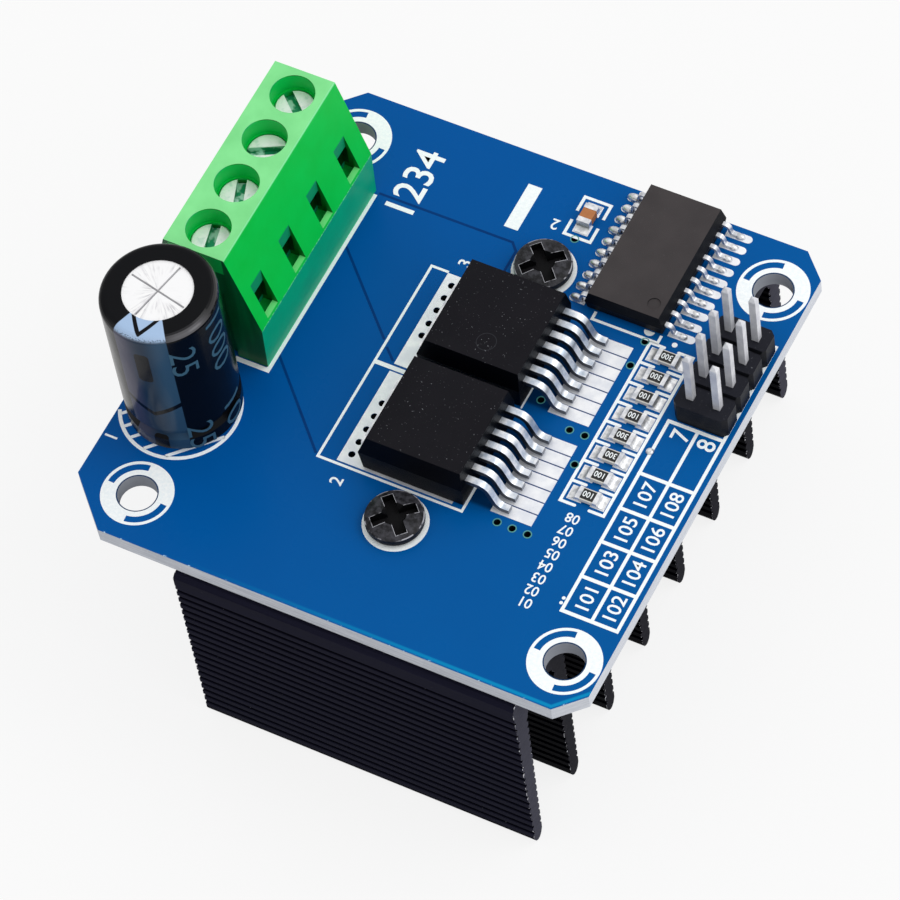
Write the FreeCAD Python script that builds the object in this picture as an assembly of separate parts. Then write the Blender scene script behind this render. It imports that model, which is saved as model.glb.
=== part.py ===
import FreeCAD, Part
import math
import os

# Sizes are in mm. Every piece is drawn on the board: x runs along the board's front
# edge, y along its right edge, and z = 0 is the board's top face. place() then moves
# each piece so that the part stands on the tips of its cooling fins at z = 0.

# Circuit board
board_x = 50.0
board_y = 50.0
board_t = 1.6
left_corner_cut = 4.4
right_corner_cut = 2.35
mount_hole_d = 3.5
mount_left_x = 5.75
mount_span_x = 40.9
mount_front_y = 4.6
mount_span_y = 40.5
via_d = 0.6

# Fits and gaps
thread_gap = 0.05
turning_gap = 0.06
cage_side_gap = 0.15
sleeve_gap = 0.03
lead_hole_gap = 0.18
solder_seat = 0.15

# Finned heatsink, an extrusion along x
sink_x0 = 11.75
sink_length = 32.5
sink_width = 51.2
sink_bottom = -25.0
pad_t = 0.2
sink_top = -board_t - pad_t
base_t = 3.0
fin_count = 8
fin_tip_t = 1.4
fin_root_t = 2.1
outer_fin_root_t = 2.0
sink_edge_cut = 0.35
fin_root_fillet = 1.1
ridge_pitch = 1.05
groove_depth = 0.2
groove_w = 0.5
ridge_count = 19
ridge_start = 2.1
fin_tip_round = 0.55

# Pan head screws that clamp the heatsink
clamp_x = 27.45
clamp_y0 = 10.95
clamp_span = 28.15
clamp_hole_spare = 1.0
clamp_head_d = 5.2
clamp_head_h = 1.5
clamp_head_side = 1.1
clamp_head_foot = 0.35
clamp_shank_d = 2.9
clamp_shank_l = 6.2
cross_w = 1.0
cross_l = 4.1
cross_depth = 1.1
cross_angle = 45.0

# Rising cage terminal block
way_count = 4
way_pitch = 5.08
block_y0 = 20.51
block_h = 14.85
block_foot_x0 = 0.3
block_foot_x1 = 10.0
block_waist_x1 = 10.2
block_waist_z = 5.6
block_shoulder_z = 9.0
block_top_x0 = 1.9
block_top_x1 = 7.75
screw_x = 4.95
well_d = 4.0
well_depth = 1.85
head_d = 3.58
head_h = 1.1
shank_d = 2.9
screw_pitch = 0.5
head_seat_z = 11.9
shoulder_z = 11.25
cage_x = 3.8
cage_y = 3.9
cage_z0 = 1.4
cage_h = 6.8
cage_top_t = 1.2
cage_floor_t = 0.8
cage_wall = 0.4
cage_travel = 2.8
tongue_z = 6.0
tongue_t = 0.7
tongue_w = 2.6
entry_w = 3.6
entry_z0 = 2.2
entry_h = 3.8
slot_w = 1.85
slot_z0 = 5.85
slot_h = 4.5
slot_shift = -0.32
slot_wall_x = 9.0
slot_hollow_top = 8.6
screw_slot_w = 0.85
screw_slot_depth = 0.7
screw_slot_angles = (-77.0, -70.0, 27.0, -41.0)
pin_w = 1.0
pin_t = 0.7
pin_drop = 3.4

# Electrolytic capacitor
cap_x = 5.25
cap_y = 14.27
cap_r = 5.0
cap_z0 = 0.35
cap_top = 17.55
cap_shoulder_r = 0.65
cap_groove_z = 2.9
cap_groove_depth = 0.35
sleeve_t = 0.1
sleeve_window_r = 3.08
score_angle = -12.0
cap_lead_d = 0.6
cap_lead_pitch = 5.0
lead_drop = 2.6

# Power driver packages
driver_y0 = 19.6
driver_gap = 0.9
driver_count = 2
driver_x0 = 22.2
driver_x1 = 32.1
driver_w = 10.0
driver_top_w = 9.1
driver_top_x0 = 22.95
driver_top_x1 = 31.95
driver_parting_z = 2.4
driver_h = 4.4
tab_x0 = 21.5
tab_x1 = 30.2
tab_w = 8.4
tab_t = 1.27
driver_lead_count = 7
lead_pitch = 1.27
driver_lead_w = 0.62
driver_lead_t = 0.5
driver_lead_z = 2.65
driver_lead_flat_x = 33.15
driver_lead_end_x = 35.95
driver_lead_bend_r = 1.0

# Logic chip, a wide body package with twenty leads
chip_x = 36.3
chip_clear = 1.425
chip_w = 7.5
chip_top_w = 6.75
chip_l = 12.75
chip_top_l = 12.45
chip_z0 = 0.2
chip_parting_z = 1.2
chip_top_z = 2.45
chip_side_leads = 10
chip_lead_w = 0.42
chip_lead_t = 0.25
chip_lead_z = 1.15
chip_lead_flat = 0.62
chip_span = 10.6
chip_bend_r = 0.35
dimple_r = 0.58

# Double row pin header
header_x0 = 45.73
header_y0 = 31.0
header_rows = 4
header_pitch = 2.54
header_h = 2.46
header_side = 1.27
header_notch = 0.45
header_pin_w = 0.64
header_tip_z = 8.65
header_tip_cut = 0.22
header_pin_drop = 2.9

# Chip resistors and the ceramic capacitor
resistor_x = 41.42
resistor_y0 = 19.7
resistor_step = 2.175
resistor_count = 8
resistor_l = 2.0
resistor_w = 1.25
resistor_h = 0.55
resistor_end = 0.38
resistor_reach = 0.7
coat_l = 1.2
coat_w = 0.98
coat_t = 0.05
ceramic_x = 28.62
ceramic_y = 45.45
ceramic_l = 2.0
ceramic_w = 1.25
ceramic_h = 0.95
ceramic_end = 0.5
fillet_h = 0.4

# Solder on the underside
solder_r = 0.95
solder_tip_r = 0.5
solder_h = 1.0

via_spots = (
    (35.35, 14.45),
    (36.8, 14.4),
    (38.25, 14.4),
    (36.85, 25.2),
    (38.3, 25.2),
    (38.8, 22.25),
    (38.72, 33.2),
    (38.8, 35.9),
    (28.45, 43.1),
    (33.24, 26.95),
    (20.85, 15.5),
    (20.85, 16.85),
    (20.85, 18.25),
    (20.85, 19.7),
    (20.85, 21.15),
    (20.78, 28.75),
    (20.78, 30.1),
    (20.78, 31.6),
    (20.78, 33.0),
    (20.78, 34.4),
)

lift = -sink_bottom
os.makedirs("parts", exist_ok=True)


def vec(x, y, z):
    return FreeCAD.Vector(x, y, z)


def place(name, shape):
    moved = shape.copy()
    moved.translate(vec(-board_x / 2, -board_y / 2, lift))
    moved.exportStep("parts/" + name + ".step")


def block(x0, y0, z0, dx, dy, dz):
    return Part.makeBox(dx, dy, dz, vec(x0, y0, z0))


def cylinder(x, y, z, radius, height):
    return Part.makeCylinder(radius, height, vec(x, y, z))


def prism_z(points, z, height):
    corners = [vec(px, py, z) for px, py in points]
    face = Part.Face(Part.makePolygon(corners + corners[:1]))
    return face.extrude(vec(0, 0, height))


def prism_y(points, y, width):
    corners = [vec(px, y, pz) for px, pz in points]
    face = Part.Face(Part.makePolygon(corners + corners[:1]))
    return face.extrude(vec(0, width, 0))


def prism_x(points, x, length):
    corners = [vec(x, py, pz) for py, pz in points]
    face = Part.Face(Part.makePolygon(corners + corners[:1]))
    return face.extrude(vec(length, 0, 0))


def turned(points, x, y):
    corners = [vec(x + r, y, z) for r, z in points]
    face = Part.Face(Part.makePolygon(corners + corners[:1]))
    return face.revolve(vec(x, y, 0), vec(0, 0, 1), 360)


def frustum(x0, x1, y0, y1, z0, top, z1):
    tx0, tx1, ty0, ty1 = top
    low = [vec(x0, y0, z0), vec(x1, y0, z0), vec(x1, y1, z0), vec(x0, y1, z0)]
    high = [vec(tx0, ty0, z1), vec(tx1, ty0, z1), vec(tx1, ty1, z1), vec(tx0, ty1, z1)]
    rings = [Part.makePolygon(low + low[:1]), Part.makePolygon(high + high[:1])]
    return Part.makeLoft(rings, True, True)


def tapered_pin(x, y, z0, z1, width, cut):
    half = width / 2
    inner = half - cut
    shaft = block(x - half, y - half, z0, width, width, z1 - cut * 1.6 - z0)
    top = (x - inner, x + inner, y - inner, y + inner)
    tip = frustum(x - half, x + half, y - half, y + half, z1 - cut * 1.6, top, z1)
    return shaft.fuse(tip).removeSplitter()


def gull_wing(x0, x1, x2, z_high, z_low, thick, radius, steep):
    """Side face of a bent lead: flat from x0 to x1, two equal bends, flat foot to x2."""
    a = math.radians(steep)
    drop = z_high - z_low - 2 * radius * (1 - math.cos(a))
    run = drop / math.tan(a)
    s, c = math.sin(a), math.cos(a)
    half = thick / 2
    upper = (x1, z_high - radius)
    lower = (x1 + 2 * radius * s + run, z_low + radius)

    def side(offset):
        r1 = radius + offset
        r2 = radius - offset
        m = a / 2
        pts = [
            (x0, z_high + offset),
            (upper[0], upper[1] + r1),
            (upper[0] + r1 * math.sin(m), upper[1] + r1 * math.cos(m)),
            (upper[0] + r1 * s, upper[1] + r1 * c),
            (lower[0] - r2 * s, lower[1] - r2 * c),
            (lower[0] - r2 * math.sin(m), lower[1] - r2 * math.cos(m)),
            (lower[0], lower[1] - r2),
            (x2, z_low + offset),
        ]
        v = [vec(px, 0, pz) for px, pz in pts]
        return [
            Part.LineSegment(v[0], v[1]).toShape(),
            Part.Arc(v[1], v[2], v[3]).toShape(),
            Part.LineSegment(v[3], v[4]).toShape(),
            Part.Arc(v[4], v[5], v[6]).toShape(),
            Part.LineSegment(v[6], v[7]).toShape(),
        ]

    top = side(half)
    bottom = side(-half)
    ends = [
        Part.LineSegment(vec(x0, 0, z_high - half), vec(x0, 0, z_high + half)).toShape(),
        Part.LineSegment(vec(x2, 0, z_low - half), vec(x2, 0, z_low + half)).toShape(),
    ]
    return Part.Face(Part.Wire(Part.__sortEdges__(top + bottom + ends)))


clamp_ys = [clamp_y0, clamp_y0 + clamp_span]
driver_pitch = driver_w + driver_gap
driver_ys = [driver_y0 + driver_pitch * i for i in range(driver_count)]
chip_y = driver_ys[-1] + driver_w / 2 + chip_clear + chip_l / 2
header_xs = [header_x0, header_x0 + header_pitch]
way_ys = [block_y0 + way_pitch * (i + 0.5) for i in range(way_count)]
resistor_ys = [resistor_y0 + resistor_step * i for i in range(resistor_count)]
header_ys = [header_y0 + header_pitch * i for i in range(header_rows)]
mount_spots = [
    (mount_left_x + i * mount_span_x, mount_front_y + j * mount_span_y)
    for i in range(2)
    for j in range(2)
]
pin_x = block_top_x1 - pin_t / 2
cap_leads = [(cap_x, cap_y - cap_lead_pitch / 2), (cap_x, cap_y + cap_lead_pitch / 2)]

# Circuit board with cut corners
cut_l = left_corner_cut
cut_r = right_corner_cut
outline = [
    (cut_l, 0),
    (board_x - cut_r, 0),
    (board_x, cut_r),
    (board_x, board_y - cut_r),
    (board_x - cut_r, board_y),
    (cut_l, board_y),
    (0, board_y - cut_l),
    (0, cut_l),
]
board = prism_z(outline, -board_t, board_t)
drills = []
for x, y in mount_spots:
    drills.append(cylinder(x, y, -board_t - 1, mount_hole_d / 2, board_t + 2))
for y in clamp_ys:
    drills.append(cylinder(clamp_x, y, -board_t - 1, clamp_shank_d / 2 + lead_hole_gap, board_t + 2))
for x in header_xs:
    for y in header_ys:
        drills.append(cylinder(x, y, -board_t - 1, header_pin_w * 0.71 + 0.08, board_t + 2))
for y in way_ys:
    drills.append(cylinder(pin_x, y, -board_t - 1, pin_w / 2 + lead_hole_gap, board_t + 2))
for x, y in cap_leads:
    drills.append(cylinder(x, y, -board_t - 1, cap_lead_d / 2 + lead_hole_gap, board_t + 2))
for x, y in via_spots:
    drills.append(cylinder(x, y, -board_t - 1, via_d / 2, board_t + 2))
board = board.cut(Part.makeCompound(drills))
place("circuit_board", board)

# Heatsink: one ribbed profile, drawn fin by fin and extruded
sink_y0 = (board_y - sink_width) / 2
fin_pitch = (sink_width - fin_tip_t) / (fin_count - 1)
fin_h = sink_top - base_t - sink_bottom
base_under = sink_top - base_t


def fin_flank(y_tip, y_root, direction):
    """Points down one grooved side of a fin, from its root to its tip."""
    points = []
    slope = groove_w * 0.28
    steps = ((0.0, 0.0), (slope, groove_depth), (groove_w - slope, groove_depth), (groove_w, 0.0))
    for k in range(ridge_count):
        z_top = sink_top - ridge_start - k * ridge_pitch
        for down, deep in steps:
            z = z_top - down
            share = max(0.0, (base_under - z) / fin_h)
            y = y_root + (y_tip - y_root) * share
            points.append((y - direction * deep, z))
    return points


profile = []
for i in range(fin_count):
    centre = sink_y0 + fin_tip_t / 2 + i * fin_pitch
    left_tip = centre - fin_tip_t / 2
    right_tip = centre + fin_tip_t / 2
    root_extra = (fin_root_t - fin_tip_t) / 2
    left_root = left_tip - root_extra
    right_root = right_tip + root_extra
    if i == 0:
        left_root = left_tip
        right_root = left_tip + outer_fin_root_t
    if i == fin_count - 1:
        right_root = right_tip
        left_root = right_tip - outer_fin_root_t
    down = fin_flank(left_tip, left_root, -1.0)
    up = fin_flank(right_tip, right_root, 1.0)
    up.reverse()
    if i == 0:
        profile.append((left_root + sink_edge_cut, sink_top))
        profile.append((left_root, sink_top - sink_edge_cut))
    else:
        for step in range(5):
            angle = math.radians(90 * step / 4)
            y = left_root - fin_root_fillet * (1 - math.sin(angle))
            z = base_under - fin_root_fillet * (1 - math.cos(angle))
            profile.append((y, z))
        down = [p for p in down if p[1] < base_under - fin_root_fillet - 0.1]
    if i < fin_count - 1:
        up = [p for p in up if p[1] < base_under - fin_root_fillet - 0.1]
    profile.extend(down)
    profile.append((left_tip, sink_bottom + fin_tip_round * 1.6))
    profile.append((left_tip + fin_tip_round * 0.45, sink_bottom + fin_tip_round * 0.5))
    profile.append((left_tip + fin_tip_round, sink_bottom))
    profile.append((right_tip - fin_tip_round, sink_bottom))
    profile.append((right_tip - fin_tip_round * 0.45, sink_bottom + fin_tip_round * 0.5))
    profile.append((right_tip, sink_bottom + fin_tip_round * 1.6))
    profile.extend(up)
    if i < fin_count - 1:
        for step in range(5):
            angle = math.radians(90 * (4 - step) / 4)
            y = right_root + fin_root_fillet * (1 - math.sin(angle))
            z = base_under - fin_root_fillet * (1 - math.cos(angle))
            profile.append((y, z))
    else:
        profile.append((right_root, sink_top - sink_edge_cut))
        profile.append((right_root - sink_edge_cut, sink_top))
heatsink = prism_x(profile, sink_x0, sink_length)
for y in clamp_ys:
    depth = clamp_shank_l + 0.5 + clamp_hole_spare
    bore = cylinder(clamp_x, y, -depth, clamp_shank_d / 2 + thread_gap, depth)
    heatsink = heatsink.cut(bore)
place("heatsink", heatsink)

# Thin insulating pad between board and heatsink
pad = block(sink_x0 + 0.4, 2.0, sink_top, sink_length - 0.8, board_y - 4.0, pad_t)
for y in clamp_ys:
    pad = pad.cut(cylinder(clamp_x, y, sink_top - 1, clamp_shank_d / 2 + 0.3, pad_t + 2))
place("thermal_pad", pad)

# Heatsink screws
clamp_screws = []
for y in clamp_ys:
    r = clamp_head_d / 2
    h = clamp_head_h
    side = clamp_head_side
    foot = clamp_head_foot
    dome = [(0, 0), (r - foot, 0), (r - 0.05, foot), (r, foot + 0.15), (r, side - 0.06), (r - 0.08, side)]
    for step in range(1, 5):
        reach = 1 - step / 5
        dome.append((r * reach, side + (h - side) * (1 - reach * reach)))
    dome.append((0, h))
    head = turned(dome, clamp_x, y)
    floor_z = h - cross_depth
    arm_a = block(clamp_x - cross_l / 2, y - cross_w / 2, floor_z, cross_l, cross_w, cross_depth + 1)
    arm_b = block(clamp_x - cross_w / 2, y - cross_l / 2, floor_z, cross_w, cross_l, cross_depth + 1)
    core = Part.makeCone(cross_w * 0.5, cross_w * 1.15, cross_depth, vec(clamp_x, y, floor_z))
    recess = arm_a.fuse([arm_b, core])
    recess.rotate(vec(clamp_x, y, 0), vec(0, 0, 1), cross_angle)
    head = head.cut(recess)
    shank = cylinder(clamp_x, y, -clamp_shank_l, clamp_shank_d / 2, clamp_shank_l)
    point = Part.makeCone(clamp_shank_d / 2 - 0.5, clamp_shank_d / 2, 0.5, vec(clamp_x, y, -clamp_shank_l - 0.5))
    clamp_screws.append(head.fuse([shank, point]).removeSplitter())
place("heatsink_screws", Part.makeCompound(clamp_screws))

# Terminal block housing: one moulded profile, hollowed way by way
block_len = way_count * way_pitch
section = [
    (block_foot_x0, 0),
    (block_foot_x1, 0),
    (block_waist_x1, block_waist_z),
    (block_top_x1, block_h),
    (block_top_x0, block_h),
    (block_foot_x0, block_shoulder_z),
]
housing = prism_y(section, block_y0, block_len)
cage_room = (cage_x / 2 + cage_side_gap, cage_y / 2 + cage_side_gap)
hollows = []
for y in way_ys:
    hollows.append(cylinder(screw_x, y, block_h - well_depth, well_d / 2, well_depth + 1))
    seat = head_d / 2 + turning_gap
    hollows.append(cylinder(screw_x, y, head_seat_z, seat, block_h - head_seat_z))
    hollows.append(cylinder(screw_x, y, shoulder_z - 1, shank_d / 2 + turning_gap, head_seat_z - shoulder_z + 2))
    half_x, half_y = cage_room
    hollows.append(block(screw_x - half_x, y - half_y, 1.2, 2 * half_x, 2 * half_y, shoulder_z - 1.2))
    mouth = [
        (block_foot_x0 - 1, entry_z0 - 0.9),
        (block_foot_x0, entry_z0 - 0.55),
        (block_foot_x0 + 1.1, entry_z0),
        (screw_x, entry_z0),
        (screw_x, entry_z0 + entry_h),
        (block_foot_x0 + 1.1, entry_z0 + entry_h),
        (block_foot_x0, entry_z0 + entry_h + 0.55),
        (block_foot_x0 - 1, entry_z0 + entry_h + 0.9),
    ]
    hollows.append(prism_y(mouth, y - entry_w / 2, entry_w))
    slot_y = y + slot_shift
    hollows.append(block(slot_wall_x, slot_y - slot_w / 2, slot_z0, 2, slot_w, slot_h))
    hollow = [
        (screw_x, tongue_z + tongue_t + 0.2),
        (slot_wall_x - 0.65, tongue_z + tongue_t + 0.2),
        (slot_wall_x - 0.65, slot_z0 - 0.8),
        (slot_wall_x + 0.55, slot_z0 - 0.8),
        (slot_wall_x + 0.55, slot_z0 + 0.9),
        (slot_wall_x, slot_hollow_top),
        (screw_x, slot_hollow_top),
    ]
    hollows.append(prism_y(hollow, slot_y - slot_w / 2 - 0.35, slot_w + 0.7))
    slit_w = tongue_w + 0.2
    slit_end = pin_x + 0.5
    hollows.append(block(screw_x - 3.4, y - slit_w / 2, tongue_z - 0.1, slit_end - screw_x + 3.4, slit_w, tongue_t + 0.2))
    hollows.append(block(pin_x - pin_t / 2 - 0.05, y - pin_w / 2 - 0.05, -1, pin_t + 0.1, pin_w + 0.1, 7.5))
housing = housing.cut(Part.makeCompound(hollows))
groove = block(5.4, block_y0 - 1, 0.0, 1.7, 1.4, 9.5)
housing = housing.cut(groove).removeSplitter()
place("terminal_housing", housing)

# Contacts: a tongue through each cage and a solder pin below
contacts = []
for y in way_ys:
    tongue = block(screw_x - 3.2, y - tongue_w / 2, tongue_z, pin_x + pin_t / 2 - screw_x + 3.2, tongue_w, tongue_t)
    leg = block(pin_x - pin_t / 2, y - pin_w / 2, -pin_drop + 0.5, pin_t, pin_w, tongue_z + pin_drop - 0.5)
    inner = (pin_x - pin_t / 4, pin_x + pin_t / 4, y - pin_w / 4, y + pin_w / 4)
    tip = frustum(pin_x - pin_t / 2, pin_x + pin_t / 2, y - pin_w / 2, y + pin_w / 2, -pin_drop + 0.5, inner, -pin_drop)
    contacts.append(tongue.fuse([leg, tip]).removeSplitter())
place("terminal_contacts", Part.makeCompound(contacts))

# Terminal screws and the cages that they raise
for i, y in enumerate(way_ys):
    r = head_d / 2
    profile_head = [
        (0, head_seat_z),
        (r, head_seat_z),
        (r, head_seat_z + head_h - 0.12),
        (r - 0.12, head_seat_z + head_h),
        (0, head_seat_z + head_h),
    ]
    head = turned(profile_head, screw_x, y)
    shank_end = tongue_z + tongue_t + 0.2
    shank = cylinder(screw_x, y, shank_end + 0.4, shank_d / 2, head_seat_z - shank_end - 0.4)
    point = Part.makeCone(shank_d / 2 - 0.4, shank_d / 2, 0.4, vec(screw_x, y, shank_end))
    screw = head.fuse([shank, point])
    cut = block(screw_x - 3, y - screw_slot_w / 2, head_seat_z + head_h - screw_slot_depth, 6, screw_slot_w, 2)
    cut.rotate(vec(screw_x, y, 0), vec(0, 0, 1), screw_slot_angles[i])
    place("terminal_screw_%d" % (i + 1), screw.cut(cut).removeSplitter())

    cage = block(screw_x - cage_x / 2, y - cage_y / 2, cage_z0, cage_x, cage_y, cage_h)
    window_h = cage_h - cage_top_t - cage_floor_t
    window = block(screw_x - cage_x, y - cage_y / 2 + cage_wall, cage_z0 + cage_floor_t, 2 * cage_x, cage_y - 2 * cage_wall, window_h)
    cage = cage.cut(window)
    cage = cage.cut(cylinder(screw_x, y, cage_z0 + cage_h - cage_top_t - 1, shank_d / 2 + thread_gap, cage_top_t + 2))
    place("wire_cage_%d" % (i + 1), cage)

# Capacitor can, sleeve, rubber bung and leads
groove_r = cap_r - cap_groove_depth
top_arc = []
for step in range(0, 7):
    angle = math.radians(90 * step / 6)
    top_arc.append((math.cos(angle), math.sin(angle)))
can_profile = [(0, cap_z0 + 1.6), (cap_r - 1.0, cap_z0 + 1.6), (cap_r - 1.0, cap_z0 + 0.25)]
can_profile += [(cap_r - 0.75, cap_z0 + 0.05), (cap_r - 0.35, cap_z0 + 0.05), (cap_r, cap_z0 + 0.4)]
can_profile += [(cap_r, cap_groove_z - 0.7), (groove_r, cap_groove_z - 0.15), (groove_r, cap_groove_z + 0.15)]
can_profile += [(cap_r, cap_groove_z + 0.7)]
rr = cap_shoulder_r
for c, s in top_arc:
    can_profile.append((cap_r - rr + rr * c, cap_top - sleeve_t - rr + rr * s))
can_profile += [(sleeve_window_r + 0.05, cap_top - sleeve_t), (sleeve_window_r - 0.1, cap_top - sleeve_t - 0.02)]
can_profile += [(0, cap_top - sleeve_t - 0.02)]
can = turned(can_profile, cap_x, cap_y)
for angle in (score_angle, score_angle + 90):
    score = prism_x([(cap_y - 0.16, cap_top), (cap_y + 0.16, cap_top), (cap_y, cap_top - sleeve_t - 0.17)], cap_x - 2.9, 5.8)
    score.rotate(vec(cap_x, cap_y, 0), vec(0, 0, 1), angle)
    can = can.cut(score)
place("capacitor_can", can)

inner = cap_r + sleeve_gap
outer = inner + sleeve_t - sleeve_gap
inner_groove = groove_r + sleeve_gap
outer_groove = inner_groove + sleeve_t - sleeve_gap
sleeve_profile = [(inner, cap_z0 + 0.5), (outer, cap_z0 + 0.5), (outer, cap_groove_z - 0.7)]
sleeve_profile += [(outer_groove, cap_groove_z - 0.15), (outer_groove, cap_groove_z + 0.15), (outer, cap_groove_z + 0.7)]
for c, s in top_arc:
    r_out = rr + sleeve_t
    sleeve_profile.append((cap_r - rr + r_out * c, cap_top - sleeve_t - rr + r_out * s))
sleeve_profile += [(sleeve_window_r, cap_top), (sleeve_window_r, cap_top - sleeve_t + sleeve_gap)]
for c, s in reversed(top_arc):
    r_in = rr + sleeve_gap
    sleeve_profile.append((cap_r - rr + r_in * c, cap_top - sleeve_t - rr + r_in * s))
sleeve_profile += [(inner, cap_groove_z + 0.7), (inner_groove, cap_groove_z + 0.15)]
sleeve_profile += [(inner_groove, cap_groove_z - 0.15), (inner, cap_groove_z - 0.7)]
place("capacitor_sleeve", turned(sleeve_profile, cap_x, cap_y))

bung = cylinder(cap_x, cap_y, 0.0, cap_r - 1.6, cap_z0 + 0.3)
bung = bung.fuse(cylinder(cap_x, cap_y, cap_z0 + 0.3, cap_r - 1.03, 1.25))
leads = []
for x, y in cap_leads:
    wire = cylinder(x, y, -lead_drop - board_t + 0.8, cap_lead_d / 2, lead_drop + board_t + cap_z0)
    bung = bung.cut(wire)
    leads.append(wire)
place("capacitor_bung", bung)
place("capacitor_leads", Part.makeCompound(leads))

# Power driver packages: moulded body, metal tab and seven bent leads
for i, yc in enumerate(driver_ys):
    seat = solder_seat
    half = driver_w / 2
    half_top = driver_top_w / 2
    low_top = (driver_x0, driver_x1, yc - half, yc + half)
    part_z = seat + driver_parting_z
    lower = frustum(driver_x0 + 0.2, driver_x1 - 0.12, yc - half + 0.12, yc + half - 0.12, seat, low_top, part_z)
    top = (driver_top_x0, driver_top_x1, yc - half_top, yc + half_top)
    upper = frustum(driver_x0, driver_x1, yc - half, yc + half, part_z, top, seat + driver_h)
    body = lower.fuse(upper)

    tab_half = tab_w / 2
    tab_outline = [
        (tab_x0, yc - tab_half + 0.9),
        (tab_x0 + 0.5, yc - tab_half),
        (tab_x1, yc - tab_half),
        (tab_x1, yc + tab_half),
        (tab_x0 + 0.5, yc + tab_half),
        (tab_x0, yc + tab_half - 0.9),
    ]
    tab = prism_z(tab_outline, seat - 0.05, tab_t)
    place("driver_tab_%d" % (i + 1), tab)

    lead_face = gull_wing(
        driver_x1 - 0.7,
        driver_lead_flat_x,
        driver_lead_end_x,
        seat + driver_lead_z,
        seat + driver_lead_t / 2,
        driver_lead_t,
        driver_lead_bend_r,
        68,
    )
    driver_leads = []
    for k in range(driver_lead_count):
        y = yc + (k - (driver_lead_count - 1) / 2) * lead_pitch
        lead = lead_face.copy()
        lead.translate(vec(0, y - driver_lead_w / 2, 0))
        driver_leads.append(lead.extrude(vec(0, driver_lead_w, 0)))
    body = body.cut(tab).cut(Part.makeCompound(driver_leads)).removeSplitter()
    place("driver_body_%d" % (i + 1), body)
    place("driver_leads_%d" % (i + 1), Part.makeCompound(driver_leads))

# Logic chip
half_w = chip_w / 2
half_l = chip_l / 2
top_w = chip_top_w / 2
top_l = chip_top_l / 2
low_top = (chip_x - half_w, chip_x + half_w, chip_y - half_l, chip_y + half_l)
chip_low = frustum(
    chip_x - half_w + 0.15,
    chip_x + half_w - 0.15,
    chip_y - half_l + 0.15,
    chip_y + half_l - 0.15,
    chip_z0,
    low_top,
    chip_parting_z,
)
high = (chip_x - top_w, chip_x + top_w, chip_y - top_l, chip_y + top_l)
chip_high = frustum(
    chip_x - half_w,
    chip_x + half_w,
    chip_y - half_l,
    chip_y + half_l,
    chip_parting_z,
    high,
    chip_top_z,
)
chip = chip_low.fuse(chip_high)
chip = chip.cut(cylinder(chip_x + 2.35, chip_y - 4.95, chip_top_z - 0.1, dimple_r, 1))
chip_leads = []
wing = gull_wing(
    half_w - 0.4,
    half_w + 0.25,
    chip_span / 2,
    chip_lead_z,
    chip_lead_t / 2 + 0.08,
    chip_lead_t,
    chip_bend_r,
    76,
)
for k in range(chip_side_leads):
    y = chip_y + (k - (chip_side_leads - 1) / 2) * lead_pitch
    lead = wing.extrude(vec(0, chip_lead_w, 0))
    lead.translate(vec(chip_x, y - chip_lead_w / 2, 0))
    chip_leads.append(lead)
    chip_leads.append(lead.mirror(vec(chip_x, y, 0), vec(1, 0, 0)))
chip = chip.cut(Part.makeCompound(chip_leads)).removeSplitter()
place("logic_chip_body", chip)
place("logic_chip_leads", Part.makeCompound(chip_leads))

# Pin header
x_left = header_xs[0] - header_side
x_right = header_xs[1] + header_side
notch = header_notch
edge = []
for y in header_ys:
    edge.append((x_right - notch, y - header_side))
    edge.append((x_right, y - header_side + notch))
    edge.append((x_right, y + header_side - notch))
    edge.append((x_right - notch, y + header_side))
for y in reversed(header_ys):
    edge.append((x_left + notch, y + header_side))
    edge.append((x_left, y + header_side - notch))
    edge.append((x_left, y - header_side + notch))
    edge.append((x_left + notch, y - header_side))
clean_edge = []
for point in edge:
    if not clean_edge or math.dist(point, clean_edge[-1]) > 1e-6:
        clean_edge.append(point)
header = prism_z(clean_edge, 0, header_h)
for y in header_ys[:-1]:
    mid = y + header_side
    vee = [(mid - 0.22, header_h + 0.01), (mid + 0.22, header_h + 0.01), (mid + 0.12, header_h - 0.4), (mid - 0.12, header_h - 0.4)]
    header = header.cut(prism_x(vee, x_left - 1, x_right - x_left + 2))
header_pins = []
for x in header_xs:
    for y in header_ys:
        bottom = -board_t - header_pin_drop + 0.9
        header_pins.append(tapered_pin(x, y, bottom, header_tip_z, header_pin_w, header_tip_cut))
header = header.cut(Part.makeCompound(header_pins)).removeSplitter()
place("header_housing", header)
place("header_pins", Part.makeCompound(header_pins))

# Chip resistors, their ends, dark coats and solder fillets
cores = []
ends = []
coats = []
fillets = []


def solder_fillet(x, y, reach, height, width, along_y, sign):
    """A concave wedge of solder from an end cap down to its land."""
    low = 0.06
    a = vec(0, 0, low)
    b = vec(0, 0, height)
    c = vec(reach, 0, low + 0.05)
    d = vec(reach, 0, low)
    m = vec(reach * 0.42, 0, low + (height - low) * 0.33)
    edges = [
        Part.LineSegment(a, b).toShape(),
        Part.Arc(b, m, c).toShape(),
        Part.LineSegment(c, d).toShape(),
        Part.LineSegment(d, a).toShape(),
    ]
    wedge = Part.Face(Part.Wire(edges)).extrude(vec(0, width, 0))
    wedge.translate(vec(0, -width / 2, 0))
    turn = 0 if sign > 0 else 180
    if along_y:
        turn += 90
    wedge.rotate(vec(0, 0, 0), vec(0, 0, 1), turn)
    wedge.translate(vec(x, y, 0))
    return wedge


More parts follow.
